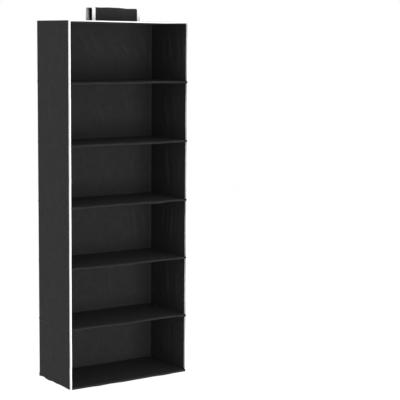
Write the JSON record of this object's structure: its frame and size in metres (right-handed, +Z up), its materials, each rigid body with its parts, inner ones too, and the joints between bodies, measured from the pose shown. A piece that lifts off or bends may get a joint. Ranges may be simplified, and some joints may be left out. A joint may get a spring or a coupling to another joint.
{
  "type": "hanging shoe organizer",
  "caption": "Tall narrow fabric shelf organizer, open at the front, with stiff shelves for shoes and a wide strap on top that wraps a closet rod.",
  "frame": {"origin": "on the axis of the closet rod that the strap wraps, at mid-width", "axes": "+Z up, +X to the right when facing the open front, the front faces -Y"},
  "size_m": [0.3762, 0.19, 1.0379],
  "materials": {
    "black_cloth": "matte non-woven cloth",
    "strap_cloth": "matte doubled cloth",
    "white_binding": "matte woven tape",
    "greyboard": "matte pressed board",
    "hook_tape": "stiff nylon hooks",
    "loop_tape": "soft nylon loops"
  },
  "bodies": {
    "root": {"top_panel_cover": "black_cloth", "top_panel_board": "greyboard", "left_side_wall": "black_cloth", "right_side_wall": "black_cloth", "back_wall": "black_cloth", "left_front_binding": "white_binding", "right_front_binding": "white_binding", "top_front_binding": "white_binding", "strap_rear_leg": "strap_cloth", "strap_rear_binding_left": "white_binding", "strap_rear_binding_right": "white_binding", "strap_front_tab": "strap_cloth", "loop_tape": "loop_tape"},
    "strap_flap": {"strap_band": "strap_cloth", "strap_band_binding_left": "white_binding", "strap_band_binding_right": "white_binding", "hook_tape": "hook_tape"},
    "shelf_1": {"shelf_1_cover": "black_cloth", "shelf_1_board": "greyboard"},
    "shelf_2": {"shelf_2_cover": "black_cloth", "shelf_2_board": "greyboard"},
    "shelf_3": {"shelf_3_cover": "black_cloth", "shelf_3_board": "greyboard"},
    "shelf_4": {"shelf_4_cover": "black_cloth", "shelf_4_board": "greyboard"},
    "shelf_5": {"shelf_5_cover": "black_cloth", "shelf_5_board": "greyboard"},
    "bottom_panel": {"bottom_panel_cover": "black_cloth", "bottom_panel_board": "greyboard"}
  },
  "joints": [
    {"name": "fold_up", "type": "slide", "parent": "root", "child": "bottom_panel", "axis": [0, 0, 1], "range_m": [0, 0.88], "deforming": ["left_side_wall", "right_side_wall", "back_wall", "left_front_binding", "right_front_binding"]},
    {"name": "shelf_1_rise", "type": "slide", "parent": "root", "child": "shelf_1", "axis": [0, 0, 1], "range_m": [0, 0.1468]},
    {"name": "shelf_2_rise", "type": "slide", "parent": "root", "child": "shelf_2", "axis": [0, 0, 1], "range_m": [0, 0.2934]},
    {"name": "shelf_3_rise", "type": "slide", "parent": "root", "child": "shelf_3", "axis": [0, 0, 1], "range_m": [0, 0.4401]},
    {"name": "shelf_4_rise", "type": "slide", "parent": "root", "child": "shelf_4", "axis": [0, 0, 1], "range_m": [0, 0.5868]},
    {"name": "shelf_5_rise", "type": "slide", "parent": "root", "child": "shelf_5", "axis": [0, 0, 1], "range_m": [0, 0.7334]},
    {"name": "strap_fold", "type": "hinge", "parent": "root", "child": "strap_flap", "pos_m": [0, 0.0175, 0], "axis": [-1, 0, 0], "range_deg": [0, 120]}
  ],
  "couplings": [
    {"joint": "shelf_1_rise", "follows": "fold_up", "ratio": 0.16667},
    {"joint": "shelf_2_rise", "follows": "fold_up", "ratio": 0.33333},
    {"joint": "shelf_3_rise", "follows": "fold_up", "ratio": 0.5},
    {"joint": "shelf_4_rise", "follows": "fold_up", "ratio": 0.66667},
    {"joint": "shelf_5_rise", "follows": "fold_up", "ratio": 0.83333}
  ]
}
